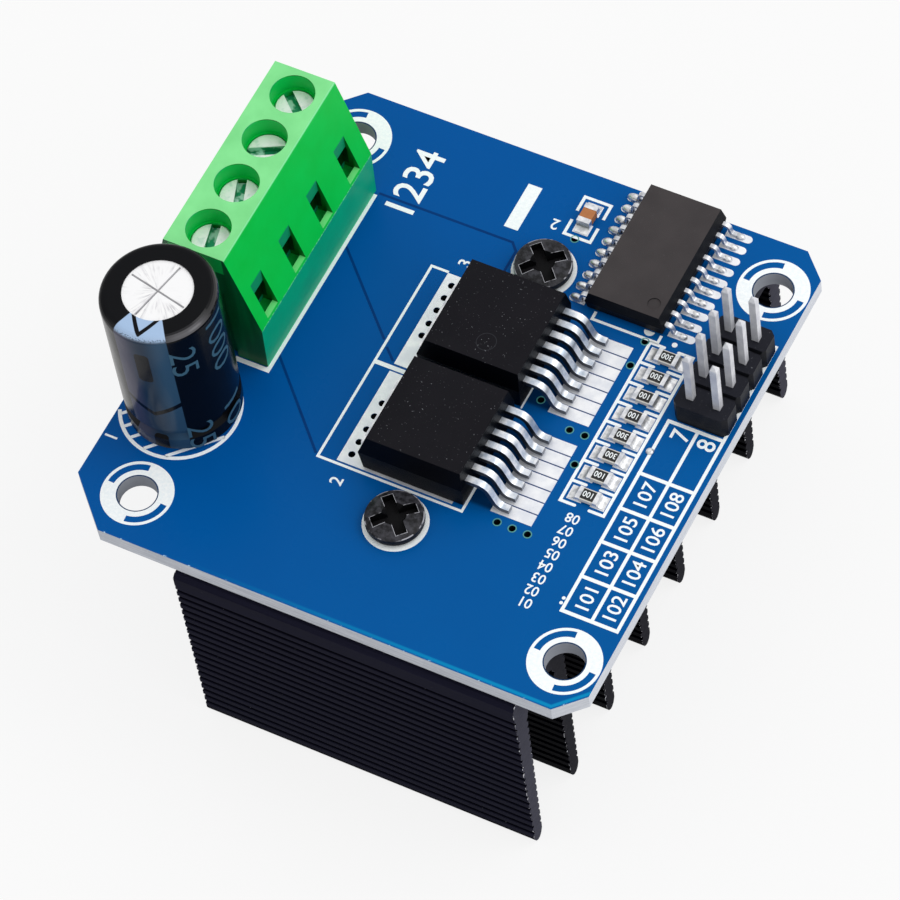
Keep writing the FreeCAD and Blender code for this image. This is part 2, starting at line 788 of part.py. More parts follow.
for y in resistor_ys:
    half_l = resistor_l / 2
    half_w = resistor_w / 2
    core = block(resistor_x - half_l + 0.05, y - half_w + 0.02, 0.11, resistor_l - 0.1, resistor_w - 0.04, resistor_h - 0.16)
    cores.append(core)
    for sign in (-1, 1):
        x0 = resistor_x - half_l if sign < 0 else resistor_x + half_l - resistor_end
        cap = block(x0, y - half_w, 0.06, resistor_end, resistor_w, resistor_h - 0.06).cut(core)
        ends.append(cap)
        fillets.append(
            solder_fillet(resistor_x + sign * half_l, y, resistor_reach, fillet_h, resistor_w, False, sign)
        )
    coats.append(block(resistor_x - coat_l / 2, y - coat_w / 2, resistor_h - 0.05, coat_l, coat_w, coat_t))
place("resistor_bodies", Part.makeCompound(cores))
place("resistor_ends", Part.makeCompound(ends))
place("resistor_coats", Part.makeCompound(coats))

# Ceramic capacitor
half_l = ceramic_l / 2
half_w = ceramic_w / 2
ceramic = block(ceramic_x - half_w + 0.02, ceramic_y - half_l + 0.05, 0.11, ceramic_w - 0.04, ceramic_l - 0.1, ceramic_h - 0.14)
ceramic_ends = []
for sign in (-1, 1):
    y0 = ceramic_y - half_l if sign < 0 else ceramic_y + half_l - ceramic_end
    cap = block(ceramic_x - half_w, y0, 0.06, ceramic_w, ceramic_end, ceramic_h - 0.06).cut(ceramic)
    ceramic_ends.append(cap)
    fillets.append(
        solder_fillet(ceramic_x, ceramic_y + sign * half_l, 0.62, 0.55, ceramic_w, True, sign)
    )
place("ceramic_capacitor_body", ceramic)
place("ceramic_capacitor_ends", Part.makeCompound(ceramic_ends))
place("solder_fillets", Part.makeCompound(fillets))

# Solder joints on the underside
joints = []


def solder_joint(x, y, lead):
    cone = Part.makeCone(solder_tip_r, solder_r, solder_h, vec(x, y, -board_t - solder_h))
    return cone.cut(lead)


for x in header_xs:
    for y in header_ys:
        half = header_pin_w / 2
        lead = block(x - half, y - half, -board_t - 4, header_pin_w, header_pin_w, 5)
        joints.append(solder_joint(x, y, lead))
for y in way_ys:
    lead = block(pin_x - pin_t / 2, y - pin_w / 2, -board_t - 4, pin_t, pin_w, 5)
    cone = Part.makeCone(solder_tip_r + 0.25, solder_r + 0.25, solder_h, vec(pin_x, y, -board_t - solder_h))
    joints.append(cone.cut(lead))
for x, y in cap_leads:
    lead = cylinder(x, y, -board_t - 4, cap_lead_d / 2, 5)
    joints.append(solder_joint(x, y, lead))
place("solder_joints", Part.makeCompound(joints))
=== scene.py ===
"""Finishes, printed marks, lands and solder for the motor driver module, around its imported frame."""
import math

import bmesh
import bpy
from mathutils import Matrix, Vector


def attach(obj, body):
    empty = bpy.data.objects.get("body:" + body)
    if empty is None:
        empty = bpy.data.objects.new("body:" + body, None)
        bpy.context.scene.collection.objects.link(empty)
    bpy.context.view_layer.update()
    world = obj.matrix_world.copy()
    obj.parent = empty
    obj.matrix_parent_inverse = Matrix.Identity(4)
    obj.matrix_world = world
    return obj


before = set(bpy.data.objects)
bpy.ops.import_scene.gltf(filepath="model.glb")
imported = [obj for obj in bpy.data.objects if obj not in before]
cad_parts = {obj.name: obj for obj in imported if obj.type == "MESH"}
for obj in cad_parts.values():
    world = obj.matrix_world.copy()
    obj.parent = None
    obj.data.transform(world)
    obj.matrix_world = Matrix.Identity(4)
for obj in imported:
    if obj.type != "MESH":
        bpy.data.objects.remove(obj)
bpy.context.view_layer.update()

# The board's own millimetres: x along its front edge, y along its right edge, z from its top face
BOARD_SHIFT = (25.0, 25.0, -25.0)
BOARD_SIZE, CORNER_CUT = 50.0, 2.35
DIAGONAL = 0.7071
PRINT_T, LAND_T, GROOVE_T, VIA_RING_T = 0.022, 0.045, 0.006, 0.03
MOUNT_HOLES = ((5.75, 4.6), (46.65, 4.6), (5.75, 45.1), (46.65, 45.1))
SCREW_X, SCREW_SLOT_Z = 4.95, 12.9
FIRST_WAY_Y, WAY_PITCH = 20.51, 5.08
CAP_X, CAP_Y, CAP_R = 5.25, 14.27, 5.1
CAP_RING_X, CAP_RING_Y, CAP_RING_R = 4.95, 13.89, 5.14
STRIPE_TURN, SHINE_TURN = math.radians(82.2), math.radians(32)
SINK_X, SINK_HALF = 28.0, 16.25
SINK_GROOVE_Z, SINK_GROOVE_PITCH = -3.9, 1.05
DRIVER_YS = (19.6, 30.5)
LEAD_PITCH = 1.27
CHIP_Y = 43.3
RESISTOR_X = 41.42
RESISTOR_YS = tuple(19.7 + 2.175 * i for i in range(8))
CLAMP_SPOTS = ((27.45, 10.95), (27.45, 39.1))
VIA_SPOTS = (
    (35.35, 14.45), (36.8, 14.4), (38.25, 14.4), (36.85, 25.2), (38.3, 25.2), (38.8, 22.25), (38.72, 33.2),
    (38.8, 35.9), (28.45, 43.1), (33.24, 26.95),
)
LAND_VIA_SPOTS = (
    (20.85, 15.5), (20.85, 16.85), (20.85, 18.25), (20.85, 19.7), (20.85, 21.15), (20.78, 28.75),
    (20.78, 30.1), (20.78, 31.6), (20.78, 33.0), (20.78, 34.4),
)


def tone(red, green, blue):
    """A colour as seen on screen, from 0 to 255, as the linear colour a material takes."""
    def linear(v):
        v = v / 255
        return v / 12.92 if v <= 0.04045 else ((v + 0.055) / 1.055) ** 2.4
    return (linear(red), linear(green), linear(blue), 1.0)


class Value:
    """One output of a material's nodes, so that sums on it are written as sums."""

    def __init__(self, finish, socket):
        self.finish = finish
        self.socket = socket

    def __add__(self, other):
        return self.finish.sum("ADD", self, other)

    def __sub__(self, other):
        return self.finish.sum("SUBTRACT", self, other)

    def __rsub__(self, other):
        return self.finish.sum("SUBTRACT", other, self)

    def __mul__(self, other):
        return self.finish.sum("MULTIPLY", self, other)

    def __abs__(self):
        return self.finish.sum("ABSOLUTE", self)

    __radd__ = __add__
    __rmul__ = __mul__


class Finish:
    """One procedural material, with its shader and the places on the piece that its sums start from."""

    def __init__(self, name, **constants):
        self.material = bpy.data.materials.new(name)
        self.material.use_nodes = True
        self.nodes = self.material.node_tree.nodes
        self.links = self.material.node_tree.links
        self.shader = self.nodes["Principled BSDF"]
        for socket, value in constants.items():
            self.shader.inputs[socket.replace("_", " ")].default_value = value

    def node(self, kind, settings=None, sockets=None, output=0):
        made = self.nodes.new(kind)
        for name, value in (settings or {}).items():
            setattr(made, name, value)
        for name, value in (sockets or {}).items():
            if isinstance(value, Value):
                self.links.new(value.socket, made.inputs[name])
            else:
                made.inputs[name].default_value = value
        return Value(self, made.outputs[output])

    def feed(self, socket, value):
        self.links.new(value.socket, self.shader.inputs[socket])

    def sum(self, operation, *values):
        return self.node("ShaderNodeMath", {"operation": operation}, dict(enumerate(values)))

    def length(self, first, second):
        return self.sum("SQRT", first * first + second * second)

    def place(self):
        """The place on the piece in the board's millimetres."""
        sockets = {0: self.node("ShaderNodeTexCoord", output="Object"), 1: (1000.0,) * 3, 2: BOARD_SHIFT}
        return self.node("ShaderNodeVectorMath", {"operation": "MULTIPLY_ADD"}, sockets)

    def spot(self):
        """The same place, as a vector and as three numbers."""
        place = self.place()
        return place, self.parts(place)

    def parts(self, vector):
        made = self.node("ShaderNodeSeparateXYZ", sockets={0: vector})
        return [Value(self, made.socket.node.outputs[i]) for i in range(3)]

    def facing(self):
        return self.parts(self.node("ShaderNodeTexCoord", output="Normal"))

    def stretched(self, place, sizes):
        return self.node("ShaderNodeVectorMath", {"operation": "MULTIPLY"}, {0: place, 1: sizes})

    def noise(self, place, scale, detail=3.0, rough=0.5):
        sockets = {"Vector": place, "Scale": scale, "Detail": detail, "Roughness": rough}
        return self.node("ShaderNodeTexNoise", sockets=sockets)

    def rise(self, value, low, high):
        """0 below low and 1 above high, or the other way round where low is the higher."""
        if low > high:
            return 1 - self.rise(value, high, low)
        sockets = {"Value": value, "From Min": low, "From Max": high}
        return self.node("ShaderNodeMapRange", {"interpolation_type": "SMOOTHSTEP"}, sockets)

    def inside(self, value, low, high, soft=0.03):
        return self.rise(value, low - soft, low + soft) * self.rise(value, high + soft, high - soft)

    def blend(self, share, first, second):
        settings = {"data_type": "RGBA", "clamp_factor": True}
        return self.node("ShaderNodeMix", settings, {0: share, 6: first, 7: second}, 2)

    def bump(self, height, strength, distance):
        sockets = {"Height": height, "Strength": strength, "Distance": distance}
        self.feed("Normal", self.node("ShaderNodeBump", sockets=sockets))


def board_finish():
    """Blue solder mask over copper on both faces, bare laminate on the cut edges and in the large holes, with
    a painted shadow under the driver leads, painted light on the cut edges that face +x and painted shade in
    the via bores.
    """
    f = Finish("blue_board", Specular_IOR_Level=0.05)
    place, (x, y, _) = f.spot()
    nx, _, nz = f.facing()
    flat = f.rise(abs(nz), 0.4, 0.6)
    cloud = f.noise(place, 0.09, 4.0, 0.6)
    speck = f.noise(place, 9.0, 2.0, 0.5)
    mask = f.blend(f.rise(x * 0.7 - y * 0.3, -12.0, 34.0), tone(0, 82, 156), tone(0, 86, 155))
    mask = f.blend(f.rise(cloud, 0.35, 0.75) * 0.3, mask, tone(0, 78, 146))
    cut = (BOARD_SIZE - x + y - CORNER_CUT) * DIAGONAL
    side = f.sum("MINIMUM", y, cut)
    sheen = f.inside(side, 0.12, 0.42, 0.1) * f.rise(x - y, 8.0, 46.0)
    mask = f.blend(sheen * 0.75, mask, tone(6, 146, 196))
    mask = f.blend(f.rise(speck, 0.74, 0.8) * 0.12, mask, tone(70, 140, 200))
    nicks = f.rise(f.noise(place, 1.7, 3.0, 0.6), 0.6, 0.64) * f.rise(side, 0.13, 0.05)
    mask = f.blend(nicks, mask, tone(176, 214, 238))
    drivers_mid = sum(DRIVER_YS) / 2
    # Painted shadow: the mask under and between the driver leads is darkened.
    painted_shadow_under_leads = f.inside(x, 31.6, 34.4, 0.15) * f.inside(abs(y - drivers_mid), 1.2, 9.7, 0.25)
    mask = f.blend(painted_shadow_under_leads * 0.72, mask, tone(0, 16, 36))
    (left, front), (right, back) = MOUNT_HOLES[0], MOUNT_HOLES[3]
    hole_x = abs(x - (left + right) / 2) - (right - left) / 2
    hole_y = abs(y - (front + back) / 2) - (back - front) / 2
    reach = f.length(hole_x, hole_y)
    mask = f.blend(f.rise(reach, 1.9, 1.84) * 0.8, mask, tone(22, 44, 70))
    layers = f.noise(f.stretched(place, (0.25, 0.25, 5.5)), 1.0, 3.0, 0.6)
    fibres = f.noise(f.stretched(place, (1.6, 1.6, 3.0)), 2.0, 2.0, 0.5)
    laminate = f.blend(f.rise(layers, 0.3, 0.7), tone(182, 186, 195), tone(206, 210, 218))
    laminate = f.blend(f.rise(fibres, 0.58, 0.72) * 0.45, laminate, tone(226, 227, 230))
    # Painted light: the cut edges that face +x are paler.
    laminate = f.blend(f.rise(nx, 0.5, 0.9) * 0.6, laminate, tone(214, 217, 224))
    drilled = f.blend(layers, tone(140, 144, 153), tone(156, 160, 168))
    laminate = f.blend(f.rise(reach, 1.84, 1.8), laminate, drilled)
    # Painted shade: the walls of the via bores are near black.
    shaded_bores = f.inside(x, 9.3, 44.6) * f.inside(y, 0.3, 49.7)
    laminate = f.blend(shaded_bores, laminate, tone(20, 26, 30))
    f.feed("Base Color", f.blend(flat, laminate, mask))
    f.feed("Roughness", 0.75 - flat * (0.5 - f.rise(cloud, 0.3, 0.7) * 0.08))
    f.bump(f.noise(place, 0.8, 3.0, 0.5) * 0.5 + layers * (1 - flat), 0.12, 0.0001)
    return f.material


def groove_finish():
    """The mask where it dips between two fields of copper."""
    f = Finish("mask_over_groove", Roughness=0.3, Specular_IOR_Level=0.05)
    place = f.place()
    f.feed("Base Color", f.blend(f.noise(place, 0.5), tone(0, 48, 106), tone(0, 60, 124)))
    return f.material


def print_finish():
    """White screen print with a fine grain."""
    f = Finish("white_print", Specular_IOR_Level=0.3)
    place = f.place()
    grain = f.noise(place, 3.5, 4.0, 0.65)
    f.feed("Base Color", f.blend(f.rise(grain, 0.35, 0.7), tone(240, 247, 250), tone(252, 255, 255)))
    f.feed("Roughness", 0.45 + grain * 0.25)
    f.bump(grain, 0.15, 0.00005)
    return f.material


def tinned_finish(name, light, dark, rough, mottle=1.4, metal=1.0, side_shade=0.0):
    """Tinned metal, mottled; the last argument is how far the cut flanks and the outer ends of the leads are
    painted dark, as painted shade.
    """
    f = Finish(name, Metallic=metal)
    place = f.place()
    wide = f.noise(place, mottle, 3.0, 0.55)
    fine = f.noise(place, 11.0, 3.0, 0.6)
    colour = f.blend(f.rise(wide, 0.3, 0.72), dark, light)
    colour = f.blend(f.rise(fine, 0.62, 0.78) * 0.45, colour, tone(150, 150, 152))
    if side_shade:
        nx, ny, _ = f.facing()
        # Painted shade on the cut flanks of the leads, and on their ends that face +x.
        colour = f.blend(f.rise(abs(ny), 0.6, 0.9) * side_shade, colour, tone(26, 31, 44))
        colour = f.blend(f.rise(nx, 0.96, 0.985) * side_shade, colour, tone(60, 66, 80))
    f.feed("Base Color", colour)
    f.feed("Roughness", rough + wide * 0.18)
    f.bump(wide * 0.7 + fine * 0.3, 0.14, 0.00012)
    return f.material


def fin_finish():
    """Black anodised extrusion: streaks along x, painted shade in the grooves, on the flanks of the inner
    fins and on their sawn ends, paler sawn ends with bare specks.
    """
    f = Finish("black_anodised", Specular_IOR_Level=0.008)
    place, (x, y, z) = f.spot()
    sawn = f.rise(abs(f.facing()[0]), 0.7, 0.9)
    streak = f.noise(f.stretched(place, (0.06, 2.5, 2.5)), 1.0, 4.0, 0.6)
    dust = f.noise(place, 5.0, 2.0, 0.5)
    chips = f.noise(place, 2.6, 3.0, 0.7)
    sawmarks = f.noise(f.stretched(place, (1.0, 0.5, 7.0)), 1.5, 3.0, 0.6)
    down = f.sum("FLOORED_MODULO", SINK_GROOVE_Z - z, SINK_GROOVE_PITCH)
    below = f.rise(z, SINK_GROOVE_Z + 0.05, SINK_GROOVE_Z - 0.05)
    groove = f.rise(down, 0.48, 0.42) * f.rise(down, 0.0, 0.06) * below
    colour = f.blend(streak, tone(18, 18, 30), tone(31, 31, 46))
    # Painted shade: the grooves are darkened.
    colour = f.blend(groove * 0.85, colour, tone(0, 0, 4))
    # Painted shade on the flanks of the inner fins, which stand behind the first.
    inner = f.rise(y, 0.9, 1.4) * f.rise(y, 49.9, 49.4)
    colour = f.blend(inner * 0.9, colour, tone(0, 0, 3))
    ends = f.blend(sawmarks, tone(46, 46, 56), tone(74, 74, 86))
    # Painted shade on the sawn ends of the inner fins; the last fin keeps its paler ends.
    ends = f.blend(f.rise(y, 1.4, 7.0) * f.rise(y, 50.5, 42.0) * 0.85, ends, tone(12, 12, 18))
    colour = f.blend(sawn, colour, ends)
    colour = f.blend(f.rise(dust, 0.77, 0.8) * 0.5, colour, tone(150, 150, 155))
    rim = f.rise(abs(x - SINK_X), SINK_HALF - 0.09, SINK_HALF - 0.04) * (1 - sawn)
    colour = f.blend(rim * f.rise(chips, 0.54, 0.6), colour, tone(226, 226, 232))
    f.feed("Base Color", colour)
    f.feed("Metallic", sawn * 0.15)
    f.feed("Roughness", 0.4 + streak * 0.2 + sawn * 0.1)
    f.bump(streak * (1 - sawn) + sawmarks * sawn, 0.12, 0.00008)
    return f.material


def moulding_finish(name, dark, light, rough, specks, grain=16.0, rings=()):
    """Black epoxy moulding with the fine grain of its mould, a little pale dust and faint pin marks; its top
    is painted lighter than its flanks, as painted light and shade.
    """
    f = Finish(name, Specular_IOR_Level=0.06)
    place, (x, y, _) = f.spot()
    top = f.rise(f.facing()[2], 0.8, 0.95)
    fine = f.noise(place, grain, 2.0, 0.6)
    wide = f.noise(place, 0.35, 3.0, 0.5)
    # Painted light and shade: the top takes the light colour and the flanks the dark one.
    colour = f.blend(top, dark, light)
    colour = f.blend(f.rise(wide, 0.3, 0.7) * 0.15, colour, dark)
    dust = f.rise(f.noise(place, 6.0, 2.0, 0.5), 0.69, 0.74) * top
    smear = f.rise(f.noise(place, 0.5, 4.0, 0.6), 0.5, 0.7)
    colour = f.blend(dust * (smear * 0.7 + 0.3) * specks, colour, tone(150, 152, 158))
    for ring_x, ring_y in rings:
        reach = f.length(x - ring_x, y - ring_y)
        colour = f.blend(f.inside(reach, 0.84, 0.9) * top * 0.4, colour, tone(66, 68, 74))
    f.feed("Base Color", colour)
    f.feed("Roughness", rough + fine * 0.2 - (1 - top) * 0.15)
    f.bump(fine, 0.3, 0.00006)
    return f.material


def green_finish():
    """Moulded green nylon, painted paler where it faces up as painted light and deeper towards its foot, with
    painted shade on its -y end, on the side walls of its slots and in their deep hollows, painted light on
    each slot's floor and painted highlights along two edges.
    """
    f = Finish("green_nylon", Specular_IOR_Level=0.16)
    place, (x, y, z) = f.spot()
    nx, ny, nz = f.facing()
    cloud = f.noise(place, 0.45, 3.0, 0.5)
    scuffs = f.noise(f.stretched(place, (2.0, 6.0, 6.0)), 1.0, 3.0, 0.6)
    up = f.rise(nz, 0.85, 0.97) * f.rise(z, 14.0, 14.6)
    foot = f.rise(nz, 0.15, 0.05) * f.rise(nx, 0.7, 0.95)
    end = f.rise(abs(ny), 0.6, 0.9)
    within = f.inside(y, 21.0, 40.3, 0.1)
    streaks = f.noise(f.stretched(place, (1.2, 1.0, 0.12)), 0.9, 3.0, 0.5)
    colour = f.blend(cloud, tone(0, 182, 58), tone(0, 198, 78))
    # Painted light: the faces that look up take a paler green.
    colour = f.blend(up, colour, f.blend(cloud, tone(114, 208, 128), tone(144, 238, 158)))
    colour = f.blend(foot, colour, f.blend(cloud, tone(0, 154, 112), tone(0, 182, 132)))
    # Painted shade with streaks of painted reflection on the -y end, outside the slots.
    painted_shade_end = f.blend(f.rise(streaks, 0.3, 0.7), tone(0, 84, 40), tone(2, 112, 60))
    colour = f.blend(f.rise(ny, -0.6, -0.9) * (1 - within), colour, painted_shade_end)
    # Painted highlights along the waist edge and along the top front edge, broken up by noise.
    waist_edge_highlight = f.inside(z, 5.5, 5.64, 0.04) * f.rise(x, 9.8, 9.9) * f.rise(scuffs, 0.45, 0.55)
    crest_highlight = f.inside(x, 7.68, 7.82, 0.04) * f.rise(z, 14.7, 14.8)
    colour = f.blend((waist_edge_highlight + crest_highlight) * 0.6, colour, tone(150, 246, 180))
    # Painted shade on the side walls of the slots.
    colour = f.blend(end * within, colour, tone(0, 112, 30))
    wells = f.inside(z, 12.7, 14.75) * f.rise(abs(nz), 0.3, 0.1) * f.inside(x, 2.3, 7.5)
    colour = f.blend(wells, colour, tone(0, 196, 84))
    pocket = within * f.inside(z, 5.6, 10.5)
    pocket_back = pocket * f.rise(nx, 0.985, 0.995) * f.inside(x, 8.9, 9.1)
    colour = f.blend(pocket_back, colour, tone(14, 146, 98))
    # Painted light on the floor of each slot.
    lit_pocket_floor = pocket * f.rise(nz, 0.8, 0.95) * f.inside(x, 8.9, 10.1)
    colour = f.blend(lit_pocket_floor, colour, tone(112, 236, 132))
    # Painted shade in the deep hollow behind each slot.
    colour = f.blend(pocket * f.inside(x, 2.5, 8.85), colour, tone(4, 50, 12))
    colour = f.blend(f.rise(scuffs, 0.7, 0.78) * 0.25, colour, tone(120, 225, 150))
    f.feed("Base Color", colour)
    f.feed("Roughness", 0.34 + cloud * 0.12 + up * 0.15)
    f.bump(cloud + scuffs * 0.1, 0.12, 0.0002)
    return f.material


def screw_finish():
    """Bright plated steel with faint turned rings on each screw's face, a greenish painted reflection of the
    green housing on the face, and the slots painted with that reflection and glints.
    """
    f = Finish("bright_screw")
    place, (x, y, z) = f.spot()
    dy = f.sum("FLOORED_MODULO", y - FIRST_WAY_Y, WAY_PITCH) - WAY_PITCH / 2
    rings = f.sum("SINE", f.length(dy, x - SCREW_X) * 46)
    stain_and_reflection = f.noise(place, 1.3, 4.0, 0.6)
    colour = f.blend(f.rise(stain_and_reflection, 0.3, 0.5), tone(226, 238, 234), tone(255, 255, 255))
    # A greenish tint: a painted reflection of the green housing.
    colour = f.blend(f.rise(stain_and_reflection, 0.6, 0.72) * 0.3, colour, tone(150, 210, 186))
    glint = f.rise(f.noise(place, 0.9, 2.0, 0.5), 0.46, 0.56)
    slot = f.rise(z, SCREW_SLOT_Z + 0.05, SCREW_SLOT_Z - 0.05)
    # The slots are painted green and pale, as a painted reflection of the housing with glints.
    colour = f.blend(slot, colour, f.blend(glint, tone(24, 158, 108), tone(196, 238, 222)))
    f.feed("Base Color", colour)
    f.feed("Metallic", 0.25 + slot * 0.15)
    f.feed("Roughness", 0.24 + stain_and_reflection * 0.25)
    f.bump(rings * 0.2 + stain_and_reflection, 0.1, 0.00006)
    return f.material


def clamp_finish():
    """Black steel of the two clamp screws, with painted highlights along the rim of the head and the lips of
    the cross, and painted shade inside the cross.
    """
    f = Finish("black_steel", Specular_IOR_Level=0.2)
    place, (x, y, z) = f.spot()
    mid = (CLAMP_SPOTS[0][1] + CLAMP_SPOTS[1][1]) / 2
    dx, dy = x - CLAMP_SPOTS[0][0], abs(y - mid) - (CLAMP_SPOTS[1][1] - mid)
    first, second = abs((dx + dy) * DIAGONAL), abs((dx - dy) * DIAGONAL)
    arm, half_width = 2.05, 0.5
    along = f.sum("MAXIMUM", first - arm, second - half_width)
    across = f.sum("MAXIMUM", second - arm, first - half_width)
    lip = f.sum("MINIMUM", along, across)
    up = f.rise(f.facing()[2], 0.5, 0.8) * f.rise(z, 0.9, 1.0)
    mottle = f.noise(place, 1.5, 4.0, 0.65)
    highlight_patches = f.noise(place, 1.1, 2.0, 0.5)
    colour = f.blend(f.rise(mottle, 0.35, 0.7), tone(16, 16, 20), tone(62, 62, 68))
    colour = f.blend(up, tone(8, 9, 12), colour)
    # Painted highlights along the lips of the cross and the rim of the head, in patches.
    lip_highlight = f.inside(lip, 0.0, 0.045, 0.02) * f.rise(highlight_patches, 0.38, 0.5)
    rim_highlight = f.inside(f.length(dx, dy), 2.5, 2.58, 0.03) * f.rise(highlight_patches, 0.45, 0.55)
    colour = f.blend((lip_highlight + rim_highlight) * up * 0.8, colour, tone(190, 190, 198))
    # Painted shade inside the cross of the head.
    shaded_recess = f.rise(lip, -0.01, -0.04)
    colour = f.blend(shaded_recess, colour, tone(2, 2, 5))
    f.feed("Base Color", colour)
    f.feed("Roughness", 0.3 + mottle * 0.2 + shaded_recess * 0.3)
    f.bump(mottle, 0.2, 0.00012)
    return f.material


def can_finish():
    """The bare top of the can: pale aluminium, brushed outwards from its middle, scored in a cross."""
    f = Finish("can_aluminium", Metallic=0.35)
    place, (x, y, _) = f.spot()
    dx, dy = x - CAP_X, y - CAP_Y
    reach = f.length(dx, dy)
    polar = f.node("ShaderNodeCombineXYZ", sockets={0: f.sum("ARCTAN2", dy, dx) * 5, 1: reach * 0.25})
    rays = f.noise(polar, 1.6, 4.0, 0.65)
    cloud = f.noise(place, 0.5, 3.0, 0.5)
    colour = f.blend(f.rise(rays, 0.45, 0.62), tone(252, 252, 252), tone(206, 205, 209))
    colour = f.blend(f.rise(cloud, 0.35, 0.6), colour, tone(250, 250, 251))
    # Painted shade on the walls of the scored cross.
    scored = f.rise(f.facing()[2], 0.995, 0.9) * f.rise(reach, 3.0, 2.9)
    colour = f.blend(scored * 0.5, colour, tone(110, 108, 116))
    f.feed("Base Color", colour)
    f.feed("Roughness", 0.34 + rays * 0.15)
    f.bump(rays, 0.1, 0.0001)
    return f.material


def sleeve_finish():
    """Black shrink sleeve with the pale negative stripe, its arrows and its minus marks; the stripe is
    painted dark down the side as painted shade, and the shoulder carries a painted highlight.
    """
    f = Finish("black_sleeve", Roughness=0.2, Specular_IOR_Level=0.1, Coat_Roughness=0.12)
    place, (x, y, z) = f.spot()
    dx, dy = x - CAP_X, y - CAP_Y
    angle = f.sum("ARCTAN2", dy, dx)
    reach = f.length(dx, dy)
    along = (angle + STRIPE_TURN) * CAP_R
    rise = z + CAP_R - reach
    stripe = f.inside(along, -2.45, 2.5, 0.04)

    def minus(low, high):
        """An upright bar with round corners."""
        side = f.sum("MAXIMUM", abs(along) - 0.25, 0.0)
        ends = f.sum("MAXIMUM", abs(rise - (low + high) / 2) - (high - low) / 2 + 0.4, 0.0)
        return f.rise(f.length(side, ends), 0.44, 0.38)

    aside = abs(f.sum("SINE", angle + STRIPE_TURN) * reach)
    low_arrow = f.rise(abs(rise - 6.1 - abs(along) * 0.62), 0.341, 0.231)
    top_arrow = f.rise(abs(rise - 18.0 - aside * 1.5), 0.4, 0.28) * f.rise(aside, 1.45, 1.3)
    marks = low_arrow + top_arrow * f.rise(rise, 17.7, 17.8) + minus(11.1, 15.1) + minus(-1.2, 2.8)
    dots = f.noise(place, 9.0, 2.0, 0.5)
    # The stripe is painted dark down the side as painted shade, greyer to the left as a painted sheen and
    # darker towards the bottom; only on the shoulder does it keep its pale ink.
    pale = f.blend(f.rise(along, -1.7, -0.1), tone(62, 62, 84), tone(22, 44, 66))
    pale = f.blend(f.rise(along, 0.1, 1.9), pale, tone(46, 76, 102))
    pale = f.blend(f.rise(rise, 10.0, 3.0) * 0.3, pale, tone(24, 48, 72))
    pale = f.blend(f.rise(rise, 17.0, 17.5), pale, tone(164, 190, 222))
    pale = f.blend(f.rise(dots, 0.55, 0.6) * f.inside(rise, 16.9, 17.6, 0.2) * 0.8, pale, tone(40, 52, 74))
    black = f.blend(dots, tone(4, 5, 8), tone(9, 10, 14))
    shown = stripe * (1 - f.rise(marks, 0.0, 1.0))
    shoulder = f.inside(f.facing()[2], 0.3, 0.85, 0.15) * f.rise(z, 14.0, 15.0)
    # Painted highlight on the shoulder.
    shine = f.rise(abs(angle + SHINE_TURN), 0.6, 0.15) * shoulder
    black = f.blend(shine * 0.6, black, tone(104, 103, 108))
    f.feed("Base Color", f.blend(shown, black, pale))
    f.feed("Coat Weight", shoulder * f.rise(dx * 0.85 - dy * 0.53, -1.0, 2.5))
    wave = f.noise(f.stretched(place, (0.5, 0.5, 0.25)), 1.0, 2.0, 0.5)
    f.bump(wave * 2 + f.noise(place, 2.5, 2.0, 0.5) * 0.1, 0.1, 0.0003)
    return f.material


def plain_finish(name, first, second, rough, scale=2.0, bump=0.1, level=0.4):
    """A solid colour that varies a little, for the small pieces."""
    f = Finish(name, Specular_IOR_Level=level)
    place = f.place()
    grain = f.noise(place, scale, 4.0, 0.6)
    f.feed("Base Color", f.blend(grain, first, second))
    f.feed("Roughness", rough + grain * 0.15)
    f.bump(grain, bump, 0.0001)
    return f.material


BOARD = board_finish()
GROOVE = groove_finish()
PRINT = print_finish()
TINNED = tinned_finish("tinned_leads", tone(250, 250, 252), tone(196, 199, 206), 0.22, 1.4, 0.8)
FORMED = tinned_finish("formed_leads", tone(244, 246, 250), tone(186, 198, 214), 0.24, 1.4, 0.9, 0.85)
LAND = tinned_finish("tinned_lands", tone(252, 253, 255), tone(230, 233, 240), 0.4, 0.6, 0.6)
SOLDER = tinned_finish("solder", tone(250, 250, 250), tone(196, 198, 202), 0.24, 2.2, 0.85)
PIN = tinned_finish("header_pin", tone(228, 229, 233), tone(208, 209, 216), 0.45, 0.8, 0.45)
NICKEL = tinned_finish("nickel_plate", tone(214, 208, 190), tone(180, 172, 150), 0.26)
COATS = plain_finish("resistor_coat", tone(18, 18, 20), tone(30, 30, 32), 0.32, 6.0)
CERAMIC = plain_finish("white_ceramic", tone(206, 203, 196), tone(226, 224, 218), 0.6)
BROWN = plain_finish("brown_ceramic", tone(164, 102, 60), tone(190, 126, 80), 0.5, level=0.2)
RUBBER = plain_finish("black_rubber", tone(16, 16, 17), tone(26, 26, 27), 0.8)
SILICONE = plain_finish("white_silicone", tone(200, 200, 196), tone(220, 220, 216), 0.75)
HEADER = moulding_finish("header_moulding", tone(22, 23, 28), tone(34, 35, 42), 0.45, 0.6, 6.0)
DRIVER = moulding_finish("driver_moulding", tone(3, 4, 9), tone(25, 24, 29), 0.5, 0.8, rings=((27.95, 27.9),))
CHIP = moulding_finish("chip_moulding", tone(18, 19, 23), tone(68, 64, 65), 0.5, 0.15)

